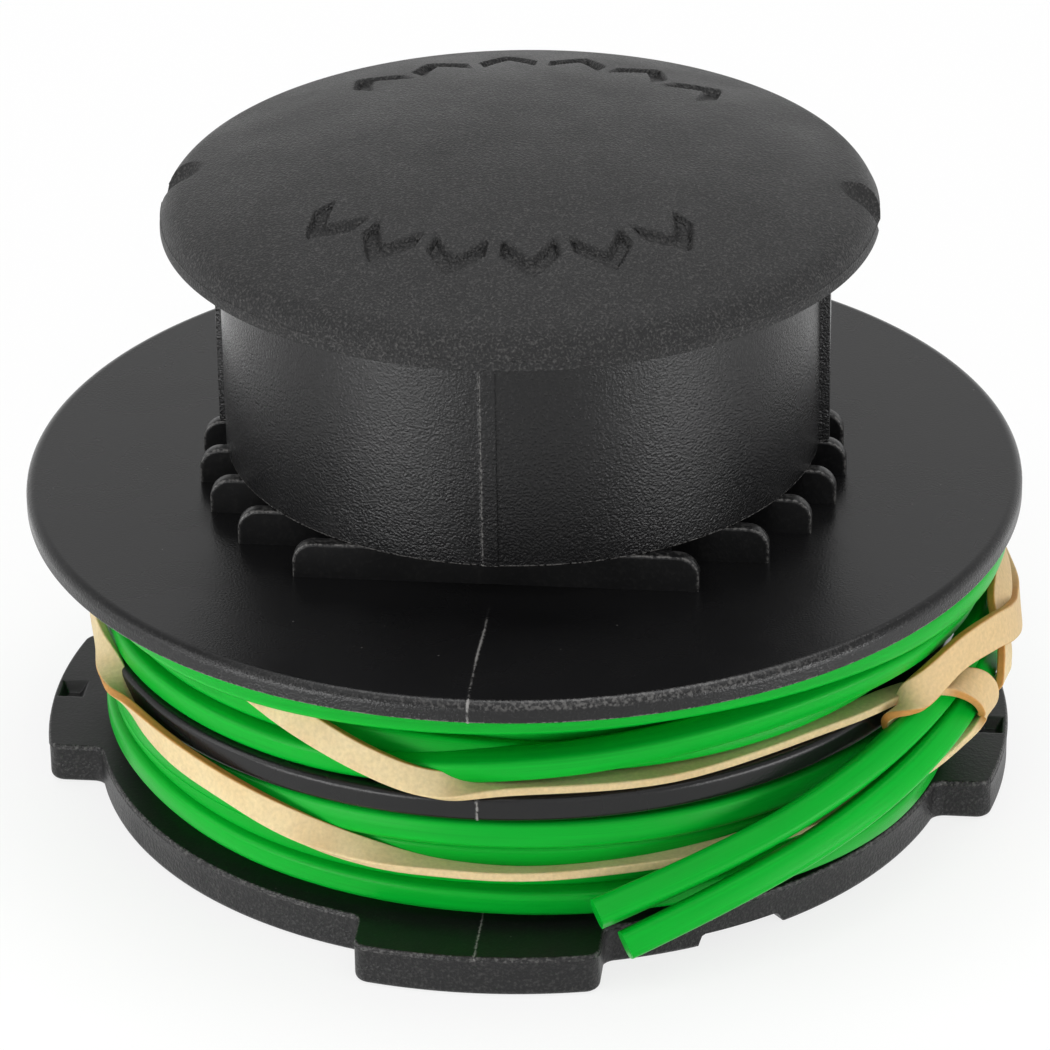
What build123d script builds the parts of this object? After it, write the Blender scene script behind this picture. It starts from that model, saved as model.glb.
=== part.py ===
from build123d import *
from math import ceil, cos, pi, radians, sin, sqrt, tan
import os

# Trimmer line spool with a pull knob, wound with two lengths of square line.
# Millimetres. +Z is the spool's axis, pointing at the knob. The origin is on the axis, in the plane of the
# bottom flange's underside. The side tools of the mould part along +X and -X, so their seam runs along -Y,
# the front, and +Y. Azimuths are degrees from the front, positive towards +X.

# Line
line_width = 2.0
line_corner = 0.55
bend_share = 0.45
fillet_share = 0.45

# Drum and the two winding chambers
drum_radius = 20.0
chamber_height = 8.2
divider_radius = 30.6
divider_thickness = 1.9
divider_edge = 0.5

# Bottom flange with four drive lugs
rim_radius = 30.8
bottom_flange_thickness = 3.0
bottom_edge = 0.45
lug_count = 4
lug_radius = 34.4
lug_width = 16.6
lug_corner = 1.1
lug_root = 1.0
skirt_width = 2.2
web_thickness = 1.6
boss_wall = 4.2
rim_notch_height = 1.05
rim_notch_azimuth = 34.4
rim_notch_span = 12.4
rim_notch_count = 2
gate_mark_width = 1.8
gate_mark_length = 1.4
gate_mark_depth = 0.7
gate_mark_inset = 0.5

# Top flange
top_flange_radius = 35.0
top_flange_thickness = 1.5
top_flange_edge = 0.65

# Parallel plates that carry the neck above the top flange
plate_count = 9
plate_pitch = 4.5
plate_thickness = 1.0
plate_height = 2.6
plate_reach = 22.7
plate_corner = 1.5
waist_radius = 18.2

# Neck
neck_radius = 20.85
neck_height = 16.5
neck_rib_width = 1.0
neck_rib_proud = 0.65
seam_strip_width = 1.1
seam_strip_proud = 0.15

# Knob
knob_radius = 24.8
knob_rim_height = 1.85
knob_dome_radius = 70.0
knob_edge = 2.5
thumb_groove_radius = 2.2
thumb_groove_length = 13.6
thumb_groove_tilt = 48.0
thumb_groove_depth = 1.45

# Bore for the trimmer head's boss
bore_radius = 17.0
bore_end_wall = 5.1
bore_mouth_chamfer = 0.8

# Windings
winding_radius = 30.2
turn_step = 0.25
winding_clearance = 0.1
upper_turn_depths = (1, 0, 2, 0)
lower_turn_depths = (0, 2, 4, 0)

# Loose outer turns: off-centre rings that stand clear of the winding on one side
loose_turn_inset = 2.3
upper_loose_turn_offset = 5.4
upper_loose_turn_azimuth = 85.0
upper_loose_turn_drop = 1.9
lower_loose_turn_offset = 2.6
lower_loose_turn_azimuth = 57.0
lower_loose_turn_rise = 1.2

# Gap that the upper winding's lowest outer turn leaves as it climbs, where the band lies on the divider
band_seat_depth = 1.6
band_seat_start = -13.0
band_seat_span = 88.0

# Rubber band: two runs round the windings, and a hitch round the two free ends
band_width = 1.9
band_thickness = 0.6
band_step = 5.0
hitch_width = 2.5
hitch_run = 2
hitch_clearance = 0.15

# Runs of the band from the hitch back to it, as azimuth, distance out past the winding, height above the
# divider and lean. The lean turns the band's face from looking outwards, at 0, to looking up, at 90.
upper_band_run = [
    (74.0, 0.25, 0.45, 90.0),
    (50.0, -0.55, 0.45, 90.0),
    (25.0, -0.55, 0.45, 90.0),
    (2.0, -0.5, 0.45, 90.0),
    (-7.0, -0.1, 0.85, 60.0),
    (-14.0, 0.75, 1.8, 20.0),
    (-23.0, 0.8, 3.2, 5.0),
    (-34.0, 0.65, 4.6, 0.0),
    (-50.0, 0.55, 5.9, 0.0),
    (-75.0, 0.55, 6.5, 0.0),
    (-110.0, 0.55, 6.6, 0.0),
    (-145.0, 0.55, 6.5, 0.0),
    (-180.0, 0.6, 6.2, 0.0),
    (-205.0, 0.8, 5.2, 0.0),
    (-213.0, 1.0, 4.7, 0.0),
    (-222.0, 1.2, 4.3, 0.0),
    (-240.0, 2.0, 4.2, 0.0),
    (-255.0, 3.1, 3.6, 0.0),
    (-268.0, 4.0, 2.7, 5.0),
    (-279.0, 4.2, 1.9, 22.0),
    (-286.0, 3.75, 1.4, 50.0),
]
lower_band_run = [
    (74.0, 2.45, -3.3, 53.0),
    (64.0, 1.7, -3.9, 30.0),
    (52.0, 1.0, -4.6, 25.0),
    (40.0, 0.6, -5.3, 45.0),
    (28.0, 0.25, -5.75, 65.0),
    (8.0, 0.1, -5.85, 65.0),
    (-6.0, 0.2, -5.5, 60.0),
    (-16.0, 0.6, -4.9, 48.0),
    (-25.0, 0.98, -4.0, 25.0),
    (-34.0, 1.0, -2.9, 5.0),
    (-44.0, 0.95, -2.2, 0.0),
    (-56.0, 0.95, -1.3, 0.0),
    (-66.0, 1.0, 0.1, 0.0),
    (-76.0, 0.9, 1.9, 0.0),
    (-88.0, 0.7, 3.1, 0.0),
    (-108.0, 0.55, 3.8, 0.0),
    (-144.0, 0.55, 3.9, 0.0),
    (-180.0, 0.6, 3.7, 0.0),
    (-205.0, 0.8, 3.0, 0.0),
    (-222.0, 1.3, 2.2, 0.0),
    (-236.0, 2.4, 1.9, 0.0),
    (-252.0, 3.5, 1.1, 0.0),
    (-268.0, 4.35, 0.0, 0.0),
    (-279.0, 4.75, -1.2, 0.0),
    (-286.0, 4.9, -2.0, 0.0),
]

# Free ends of the line as azimuth, radius and height, from the winding to the cut end
upper_tail_route = [
    (116.0, 31.6, 15.1),
    (99.0, 32.5, 14.45),
    (82.0, 32.8, 13.75),
    (65.0, 32.9, 12.5),
    (48.0, 32.8, 10.45),
    (30.5, 32.95, 8.1),
    (14.0, 33.4, 5.6),
]
lower_tail_route = [
    (116.0, 31.85, 11.3),
    (99.5, 32.9, 11.85),
    (83.0, 33.4, 11.6),
    (66.5, 33.9, 10.65),
    (50.0, 34.1, 8.8),
    (33.0, 34.1, 6.35),
    (17.0, 34.3, 3.5),
]

# Heights that follow from the sizes above
bottom_flange_top = bottom_flange_thickness
divider_bottom = bottom_flange_top + chamber_height
divider_top = divider_bottom + divider_thickness
top_flange_bottom = divider_top + chamber_height
top_flange_top = top_flange_bottom + top_flange_thickness
neck_bottom = top_flange_top + plate_height
neck_top = neck_bottom + neck_height
knob_edge_height = neck_top + knob_rim_height
dome_drop = knob_dome_radius - sqrt(knob_dome_radius**2 - knob_radius**2)
knob_top = knob_edge_height + dome_drop
bore_end = knob_top - bore_end_wall
far = 2 * lug_radius


def at(azimuth, radius, height):
    """Point at an azimuth from the front, a distance from the axis and a height."""
    angle = radians(azimuth)
    return Vector(radius * sin(angle), -radius * cos(angle), height)


def turned(solid, azimuth):
    """Solid made at the front, turned to an azimuth."""
    return Rot(0, 0, azimuth) * solid


def spool_section():
    """Half section of the spool without its lugs, plates and marks."""
    stepped = Polyline(
        (bore_radius, bore_end),
        (bore_radius, bore_mouth_chamfer),
        (bore_radius + bore_mouth_chamfer, 0),
        (bore_radius + boss_wall, 0),
        (bore_radius + boss_wall, bottom_flange_top - web_thickness),
        (rim_radius - skirt_width, bottom_flange_top - web_thickness),
        (rim_radius - skirt_width, bottom_flange_top),
        (drum_radius, bottom_flange_top),
        (drum_radius, divider_bottom),
        (divider_radius, divider_bottom),
        (divider_radius, divider_top),
        (drum_radius, divider_top),
        (drum_radius, top_flange_bottom),
        (top_flange_radius, top_flange_bottom),
        (top_flange_radius, top_flange_top),
        (waist_radius, top_flange_top),
        (waist_radius, neck_bottom),
        (neck_radius, neck_bottom),
        (neck_radius, neck_top),
        (knob_radius, neck_top),
        (knob_radius, knob_edge_height),
    )
    dome = RadiusArc((knob_radius, knob_edge_height), (0, knob_top), -knob_dome_radius)
    closing = Polyline((0, knob_top), (0, bore_end), (bore_radius, bore_end))
    face = make_face(stepped + dome + closing)
    corners = {
        (knob_radius, knob_edge_height): knob_edge,
        (top_flange_radius, top_flange_top): top_flange_edge,
        (divider_radius, divider_bottom): divider_edge,
        (divider_radius, divider_top): divider_edge,
    }
    for place, radius in corners.items():
        corner = face.vertices().sort_by_distance((place[0], place[1], 0))[0]
        face = fillet(corner, radius)
    return face


def flange_ring():
    """Bottom flange's outer ring with its lugs, rounded along the foot."""
    lug_length = lug_radius - drum_radius
    lug_step = lug_radius - rim_radius
    corner = min(lug_corner, fillet_share * lug_step)
    root = min(lug_root, fillet_share * lug_step)
    foot_edge = min(bottom_edge, fillet_share * corner)
    outline = Circle(rim_radius)
    for index in range(lug_count):
        tab = Pos(0, -drum_radius - lug_length / 2) * Rectangle(lug_width, lug_length)
        outline += Rot(0, 0, index * 360 / lug_count) * (tab & Circle(lug_radius))
    middle_radius = (rim_radius + lug_radius) / 2
    outline = fillet(outline.vertices().filter_by(lambda v: Vector(v).length > middle_radius), corner)
    at_rim = lambda v: abs(Vector(v).length - rim_radius) < root / 10
    outline = fillet(outline.vertices().filter_by(at_rim), root)
    plate = extrude(outline, bottom_flange_thickness)
    foot = plate.faces().sort_by(Axis.Z)[0].outer_wire().edges()
    plate = fillet(foot, foot_edge)
    return plate - extrude(Circle(rim_radius - skirt_width), bottom_flange_thickness)


def rim_notches():
    """Shallow gaps under the rim, past the lugs."""
    half = rim_notch_span / 2
    ring = Circle(rim_radius + skirt_width) - Circle(rim_radius - 2 * skirt_width)
    wedge = make_face(
        Polyline(
            (0, 0),
            at(rim_notch_azimuth - half, far, 0),
            at(rim_notch_azimuth + half, far, 0),
            (0, 0),
        )
    )
    notch = extrude(ring & wedge, rim_notch_height)
    return [turned(notch, index * 360 / rim_notch_count) for index in range(rim_notch_count)]


def gate_marks():
    """Small sunk marks in the two side lugs, where the moulding was fed."""
    centre = lug_radius - gate_mark_inset - gate_mark_length / 2
    mark = Pos(centre, 0, bottom_flange_top - gate_mark_depth / 2) * Box(
        gate_mark_length, gate_mark_width, gate_mark_depth
    )
    return [mark, turned(mark, 180)]


def plates():
    """Parallel plates under the neck, along X, with rounded outer shoulders."""
    made = []
    for index in range(plate_count):
        offset = (index - (plate_count - 1) / 2) * plate_pitch
        half_length = sqrt(plate_reach**2 - offset**2)
        side = Pos(0, plate_height / 2) * Rectangle(2 * half_length, plate_height)
        side = fillet(side.vertices().group_by(Axis.Y)[-1], plate_corner)
        plate = extrude(Plane.XZ * side, plate_thickness / 2, both=True)
        made.append(Pos(0, offset, top_flange_top) * plate)
    return made


def neck_ribs():
    """Upright ribs on the neck at the two sides, and low strips along the mould seam."""
    middle = (neck_bottom + neck_top) / 2
    reach = 2 * (neck_radius + neck_rib_proud)
    sides = Box(reach, neck_rib_width, neck_height)
    seam = extrude(
        Circle(neck_radius + seam_strip_proud) & Rectangle(seam_strip_width, far),
        neck_height / 2,
        both=True,
    )
    return [Pos(0, 0, middle) * sides, Pos(0, 0, middle) * seam]


def thumb_grooves():
    """Tilted round grooves that run out over the knob's edge at the two sides."""
    tool = Cylinder(thumb_groove_radius, thumb_groove_length, rotation=(0, 90, 0))
    lift = (thumb_groove_radius - thumb_groove_depth) / cos(radians(thumb_groove_tilt))
    placed = Pos(knob_radius, 0, knob_edge_height + lift) * Rot(0, thumb_groove_tilt, 0) * tool
    return [placed, turned(placed, 180)]


def make_spool():
    """The one-piece moulding."""
    core = Cylinder(bore_radius, bore_end, align=(Align.CENTER, Align.CENTER, Align.MIN))
    solid = revolve(Plane.XZ * spool_section(), Axis.Z)
    solid += flange_ring()
    for added in plates() + neck_ribs():
        solid += added - core
    for cut in rim_notches() + gate_marks() + thumb_grooves():
        solid -= cut
    return solid


def route_points(route):
    """Route given by azimuth, radius and height as points."""
    return [at(*place) for place in route]


def make_tail(name, route):
    """Free end of the line: straight runs joined by arcs as wide as the runs allow."""
    points = route_points(route)
    radii = []
    for before, here, after in zip(points, points[1:], points[2:]):
        turn = (here - before).get_angle(after - here)
        shorter = min((here - before).length, (after - here).length)
        radii.append(bend_share * shorter / tan(radians(turn / 2)))
    path = FilletPolyline(*points, radius=radii)
    start = Plane(path @ 0, z_dir=path % 0)
    tube = sweep(start * Circle(line_width / 2), path)
    expected = pi * (line_width / 2) ** 2 * path.length
    print(name, "arc radii", [round(radius, 1) for radius in radii])
    print(name, "length", round(path.length, 2), "volume share", round(tube.volume / expected, 4))
    return tube


def band_stations(run):
    """Stations of a run with more between them, so that no span turns by more than a step."""
    made = []
    for start, stop in zip(run, run[1:]):
        count = ceil(abs(stop[0] - start[0]) / band_step)
        for index in range(count):
            made.append(tuple(a + (b - a) * index / count for a, b in zip(start, stop)))
    return made + run[-1:]


def band_run(run):
    """One run of the band, ruled through its section at each station."""
    stations = band_stations(run)
    points = [at(azimuth, winding_radius + out, divider_top + rise) for azimuth, out, rise, lean in stations]
    sections = []
    for here, before, after, station in zip(points, points[:1] + points, points[1:] + points[-1:], stations):
        azimuth, lean = station[0], radians(station[3])
        along = after - before
        face = at(azimuth, cos(lean), sin(lean))
        face -= along * (face.dot(along) / along.dot(along))
        sections.append(Plane(here, x_dir=face, z_dir=along) * Rectangle(band_thickness, band_width))
    return loft(sections, ruled=True)


def band_hitch():
    """Short turn of the band round the two free ends."""
    upper_start, upper_stop = route_points(upper_tail_route)[hitch_run : hitch_run + 2]
    lower_start, lower_stop = route_points(lower_tail_route)[hitch_run : hitch_run + 2]
    along = upper_stop - upper_start + lower_stop - lower_start
    across = (upper_start + upper_stop - lower_start - lower_stop) / 2
    across -= along * (across.dot(along) / along.dot(along))
    middle = (upper_start + upper_stop + lower_start + lower_stop) / 4
    frame = Plane(middle, x_dir=across, z_dir=along)
    inner_height = line_width + 2 * hitch_clearance
    outer_height = inner_height + 2 * band_thickness
    spread = across.length
    ring = SlotCenterToCenter(spread, outer_height) - SlotCenterToCenter(spread, inner_height)
    return extrude(frame * ring, hitch_width / 2, both=True)


def make_band():
    """Rubber band that holds the line on the spool."""
    return band_run(upper_band_run) + band_run(lower_band_run) + band_hitch()


def loose_turn(offset, azimuth, height):
    """One turn of line that has slipped to one side."""
    return Pos(at(azimuth, offset, height)) * Torus(winding_radius - loose_turn_inset, line_width / 2)


def make_winding(floor, depths, loose):
    """One chamber's turns as a single ring with the outermost layer's turns outside and its loose turn."""
    inner = drum_radius + winding_clearance
    pitch = turn_pitch(depths)
    section = Sketch()
    for index, depth in enumerate(depths):
        outer = winding_radius - turn_step * depth
        turn = Pos((inner + outer) / 2, floor + winding_clearance + (index + 0.5) * pitch) * Rectangle(
            outer - inner, pitch
        )
        section += fillet(turn.vertices().group_by(Axis.X)[-1], line_corner)
    return revolve(Plane.XZ * section, Axis.Z) + loose


def turn_pitch(depths):
    """Height of one turn in its chamber."""
    return (chamber_height - 2 * winding_clearance) / len(depths)


def band_seat():
    """Room of the lowest outer turn over the band's seat, as part of a ring on the divider."""
    height = winding_clearance + turn_pitch(upper_turn_depths)
    reach = winding_radius - band_seat_depth
    section = Pos(reach + line_width, divider_top + height / 2) * Rectangle(2 * line_width, height)
    return turned(revolve(Plane.XZ * section, Axis.Z, revolution_arc=band_seat_span), band_seat_start - 90)


upper_loose_turn = loose_turn(
    upper_loose_turn_offset, upper_loose_turn_azimuth, top_flange_bottom - upper_loose_turn_drop
)
lower_loose_turn = loose_turn(
    lower_loose_turn_offset, lower_loose_turn_azimuth, bottom_flange_top + lower_loose_turn_rise
)

nodes = {
    "spool": make_spool(),
    "upper_line_winding": make_winding(divider_top, upper_turn_depths, upper_loose_turn) - band_seat(),
    "lower_line_winding": make_winding(bottom_flange_top, lower_turn_depths, lower_loose_turn),
    "upper_line_tail": make_tail("upper_line_tail", upper_tail_route),
    "lower_line_tail": make_tail("lower_line_tail", lower_tail_route),
    "rubber_band": make_band(),
}

os.makedirs("parts", exist_ok=True)
for node_name, solid in nodes.items():
    export_step(solid, f"parts/{node_name}.step")
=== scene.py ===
"""Trimmer line spool: a black moulding wound with green line that a rubber band holds, on a pale floor."""

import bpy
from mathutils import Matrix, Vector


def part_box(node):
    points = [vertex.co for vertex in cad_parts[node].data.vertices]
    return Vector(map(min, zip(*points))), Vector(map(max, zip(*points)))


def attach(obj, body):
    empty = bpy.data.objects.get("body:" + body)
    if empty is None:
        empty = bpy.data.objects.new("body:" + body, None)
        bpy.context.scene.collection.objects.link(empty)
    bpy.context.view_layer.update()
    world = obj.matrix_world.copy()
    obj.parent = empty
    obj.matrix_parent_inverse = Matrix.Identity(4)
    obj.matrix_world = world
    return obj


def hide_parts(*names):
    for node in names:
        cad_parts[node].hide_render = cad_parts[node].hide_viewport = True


bl_info = {
    "name": "Trimmer line spool",
    "version": (1, 0, 0),
    "blender": (4, 5, 0),
    "location": "View3D > Sidebar > Spool",
    "description": "Builds the spool's moulding, line, rubber band and studio round its packed frame",
    "category": "Object",
}

import bmesh
import bpy
import numpy as np
from mathutils import Matrix

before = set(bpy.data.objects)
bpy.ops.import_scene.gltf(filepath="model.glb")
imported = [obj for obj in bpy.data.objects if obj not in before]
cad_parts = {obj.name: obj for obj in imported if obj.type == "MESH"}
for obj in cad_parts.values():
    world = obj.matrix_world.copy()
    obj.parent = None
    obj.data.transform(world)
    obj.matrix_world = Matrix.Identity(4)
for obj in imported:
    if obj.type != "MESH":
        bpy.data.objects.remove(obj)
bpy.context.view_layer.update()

MM = 0.001
BODY = "root"
spool_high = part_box("spool")[1]

# Heights in millimetres of the moulding's levels, from the underside up
FLANGE_WEB = 1.4
FLANGE_TOP = 3.0
DIVIDER_BOTTOM = 11.2
DIVIDER_TOP = 13.1
TOP_FLANGE_BOTTOM = 21.3
TOP_FLANGE_TOP = 22.8
NECK_BOTTOM = 25.4
NECK_TOP = 41.9
KNOB_EDGE = 43.75
KNOB_TOP = spool_high.z / MM
BORE_END = KNOB_TOP - 5.1

# Width of the outer ring of the bottom flange, which the lugged rim's piece takes over from the body's
RIM_RING = 2.2

# Free ends of the line as azimuth from the front, radius and height, from the winding to the cut end
UPPER_TAIL = [
    (116.0, 31.6, 15.1),
    (99.0, 32.5, 14.45),
    (82.0, 32.8, 13.75),
    (65.0, 32.9, 12.5),
    (48.0, 32.8, 10.45),
    (30.5, 32.95, 8.1),
    (14.0, 33.4, 5.6),
]
LOWER_TAIL = [
    (116.0, 31.85, 11.3),
    (99.5, 32.9, 11.85),
    (83.0, 33.4, 11.6),
    (66.5, 33.9, 10.65),
    (50.0, 34.1, 8.8),
    (33.0, 34.1, 6.35),
    (17.0, 34.3, 3.5),
]


def linear(colour):
    """Linear RGBA of an sRGB hex colour: the sRGB curve undone channel by channel."""
    values = np.array([int(colour[place : place + 2], 16) for place in (1, 3, 5)]) / 255
    values = np.where(values <= 0.04045, values / 12.92, ((values + 0.055) / 1.055) ** 2.4)
    return (*values.tolist(), 1.0)


def length(name, description, default):
    """Length property in metres, with its default in millimetres."""
    return bpy.props.FloatProperty(
        name=name, description=description, default=default * MM, unit="LENGTH", precision=5
    )


def colour(name, description, default):
    """Colour property whose default is an sRGB hex value."""
    return bpy.props.FloatVectorProperty(
        name=name,
        description=description,
        default=linear(default),
        size=4,
        subtype="COLOR",
        min=0,
        max=1,
    )


def angle(name, description, default):
    """Angle property, with its default in degrees."""
    return bpy.props.FloatProperty(
        name=name, description=description, default=np.radians(default), subtype="ANGLE"
    )


class SpoolSizes(bpy.types.PropertyGroup):
    """Sizes of the moulding."""

    top_flange_radius: length("Top flange radius", "Radius of the wide flange", spool_high.x / MM)
    neck_radius: length("Neck radius", "Radius of the neck under the knob", 20.85)
    knob_radius: length("Knob radius", "Radius of the knob's rim", 24.8)
    knob_dome_radius: length("Dome radius", "Radius of the knob's domed top", 70.0)
    divider_radius: length("Divider radius", "Radius of the wall between the chambers", 30.6)
    rim_radius: length("Rim radius", "Radius of the bottom flange between its lugs", 30.8)
    lug_radius: length("Lug radius", "Radius of the drive lugs", 34.4)
    bore_radius: length("Bore radius", "Radius of the bore", 17.0)


class LineSizes(bpy.types.PropertyGroup):
    """Sizes of the line and the rubber band."""

    line_width: length("Line width", "Width of the square line across its flats", 2.0)
    band_width: length("Band width", "Width of the stretched rubber band", 1.9)
    band_thickness: length("Band thickness", "Thickness of the stretched rubber band", 0.6)


class SpoolColours(bpy.types.PropertyGroup):
    """Colours of the finishes."""

    black: colour("Moulding", "Black polypropylene", "#111112")
    # Pale colour of rubbed edges, flash and dust, also used for painted highlights along edges and painted
    # glints on the grain.
    scuff_and_highlight: colour("Scuffed plastic", "Rubbed edges and flash of the moulding", "#8b8987")
    green: colour("Line", "Green nylon", "#04aa2d")
    rubber: colour("Rubber band", "Face of the band", "#dfca9b")
    rubber_edge: colour("Rubber edge", "Cut edge of the band", "#b98238")
    floor: colour("Floor", "Studio floor", "#f7f7f7")


class StudioSettings(bpy.types.PropertyGroup):
    """Camera at the photo's place."""

    lens: bpy.props.FloatProperty(
        name="Lens", description="Focal length in millimetres", default=199.29, unit="CAMERA"
    )
    distance: length("Distance", "From the camera to its target", 411.7)
    target_height: length("Target height", "Height of the camera's target on the axis", 17.715)
    azimuth: angle("Azimuth", "Camera's place round the axis", 6.5)
    elevation: angle("Elevation", "Camera's height angle", 27.509)
    roll: angle("Roll", "Clockwise roll of the camera", 0.93)


def node(tree, kind, inputs=(), **settings):
    """One shader node with its settings. Its inputs are pairs of a socket and a value or a node's output."""
    made = tree.nodes.new("ShaderNode" + kind)
    for name, value in settings.items():
        setattr(made, name, value)
    for socket, value in inputs:
        if isinstance(value, bpy.types.NodeSocket):
            tree.links.new(value, made.inputs[socket])
        else:
            made.inputs[socket].default_value = value
    return made


def new_material(name):
    """Empty node material and its tree."""
    material = bpy.data.materials.new(name)
    material.use_nodes = True
    material.node_tree.nodes.clear()
    return material, material.node_tree


def per_mm(size):
    """Scale of a pattern whose features are this many millimetres wide, on coordinates in metres."""
    return 1 / (size * MM)


def black_polypropylene(name, roughness, grain_size, grain_depth, painted_glint):
    """Moulded black polypropylene: a dull near-black with a spark-eroded grain, paler where edges are rubbed
    and where painted highlights lie along edges.
    The grain's size and depth are in millimetres, and the painted glint is how far the painted glints at its
    tips turn pale."""
    colours = bpy.context.scene.spool_colours
    material, tree = new_material(name)
    place = node(tree, "TexCoord").outputs["Object"]
    # Edges and the parting line are rubbed to small pale patches, some edges carry painted highlights in the
    # same share, and flat faces carry a few specks of dust.
    scratch_size, speck_spacing = 0.25, 2.3
    wear_and_highlight = node(tree, "Attribute", attribute_name="wear_and_highlight").outputs["Fac"]
    scratch = node(tree, "TexNoise", [("Vector", place), ("Scale", per_mm(scratch_size)), ("Detail", 4.0)])
    reach = node(
        tree, "Math", [(0, wear_and_highlight), (1, 0.28), (2, scratch.outputs["Fac"])], operation="MULTIPLY_ADD"
    )
    rubbing_and_highlight = node(
        tree, "MapRange", [("Value", reach.outputs[0]), ("From Min", 0.54), ("From Max", 0.7)]
    )
    rubbing_and_highlight = node(
        tree, "Math", [(0, rubbing_and_highlight.outputs[0]), (1, wear_and_highlight)], operation="MULTIPLY", use_clamp=True
    )
    speck_cells = node(tree, "TexVoronoi", [("Vector", place), ("Scale", per_mm(speck_spacing))])
    specks = node(
        tree,
        "MapRange",
        [
            ("Value", speck_cells.outputs["Distance"]),
            ("From Min", 0.035),
            ("From Max", 0.02),
            ("To Max", 0.3),
        ],
    )
    pale = node(tree, "Math", [(0, rubbing_and_highlight.outputs[0]), (1, specks.outputs[0])], operation="MAXIMUM")
    # Fine pale flecks on the tips of the grain are painted glints.
    grain = node(tree, "TexNoise", [("Vector", place), ("Scale", per_mm(grain_size)), ("Detail", 2.0)])
    share = node(tree, "Attribute", attribute_name="grain").outputs["Fac"]
    painted_glints = node(
        tree,
        "MapRange",
        [("Value", grain.outputs["Fac"]), ("From Min", 0.5), ("From Max", 0.76), ("To Max", painted_glint)],
    )
    painted_glints = node(tree, "Math", [(0, painted_glints.outputs[0]), (1, share)], operation="MULTIPLY")
    pale = node(tree, "Math", [(0, pale.outputs[0]), (1, painted_glints.outputs[0])], operation="MAXIMUM")
    tint = node(
        tree,
        "Mix",
        [("Factor", pale.outputs[0]), ("A", colours.black), ("B", colours.scuff_and_highlight)],
        data_type="RGBA",
    )
    # The gloss drifts over a few millimetres, and the grain breaks the reflections up where it is deep.
    cloud_size = 6.0
    cloud = node(tree, "TexNoise", [("Vector", place), ("Scale", per_mm(cloud_size)), ("Detail", 3.0)])
    gloss = node(
        tree,
        "MapRange",
        [
            ("Value", cloud.outputs["Fac"]),
            ("From Min", 0.3),
            ("From Max", 0.7),
            ("To Min", roughness - 0.05),
            ("To Max", roughness + 0.06),
        ],
    )
    bump = node(
        tree,
        "Bump",
        [("Height", grain.outputs["Fac"]), ("Distance", grain_depth * MM), ("Strength", share)],
    )
    shader = node(
        tree,
        "BsdfPrincipled",
        [
            ("Base Color", tint.outputs["Result"]),
            ("Roughness", gloss.outputs[0]),
            ("IOR", 1.49),
            ("Specular IOR Level", 0.37),
            ("Normal", bump.outputs[0]),
        ],
    )
    node(tree, "OutputMaterial", [("Surface", shader.outputs[0])])
    return material


def green_nylon(name):
    """Extruded nylon line: clear glossy green with faint die lines along its length."""
    colours = bpy.context.scene.spool_colours
    material, tree = new_material(name)
    # The strand attribute runs along and round the line, so the noise is drawn out into die lines.
    die_line_width, die_line_depth = 0.35, 0.012
    strand = node(tree, "Attribute", attribute_name="strand").outputs["Vector"]
    stretched = node(tree, "Mapping", [("Vector", strand), ("Scale", (0.03, 1.0, 1.0))])
    lines = node(
        tree,
        "TexNoise",
        [("Vector", stretched.outputs[0]), ("Scale", per_mm(die_line_width)), ("Detail", 3.0)],
    )
    shade = node(
        tree,
        "MapRange",
        [
            ("Value", lines.outputs["Fac"]),
            ("From Min", 0.3),
            ("From Max", 0.7),
            ("To Min", 0.86),
            ("To Max", 1.08),
        ],
    )
    tint = node(
        tree,
        "Mix",
        [("Factor", 1.0), ("A", colours.green), ("B", shade.outputs[0])],
        data_type="RGBA",
        blend_type="MULTIPLY",
    )
    bump = node(
        tree,
        "Bump",
        [("Height", lines.outputs["Fac"]), ("Distance", die_line_depth * MM), ("Strength", 0.7)],
    )
    shader = node(
        tree,
        "BsdfPrincipled",
        [
            ("Base Color", tint.outputs["Result"]),
            ("Roughness", 0.34),
            ("IOR", 1.53),
            ("Specular IOR Level", 0.12),
            ("Subsurface Weight", 0.1),
            ("Subsurface Radius", (0.3, 1.0, 0.3)),
            ("Subsurface Scale", 0.5 * MM),
            ("Normal", bump.outputs[0]),
        ],
    )
    node(tree, "OutputMaterial", [("Surface", shader.outputs[0])])
    return material


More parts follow.
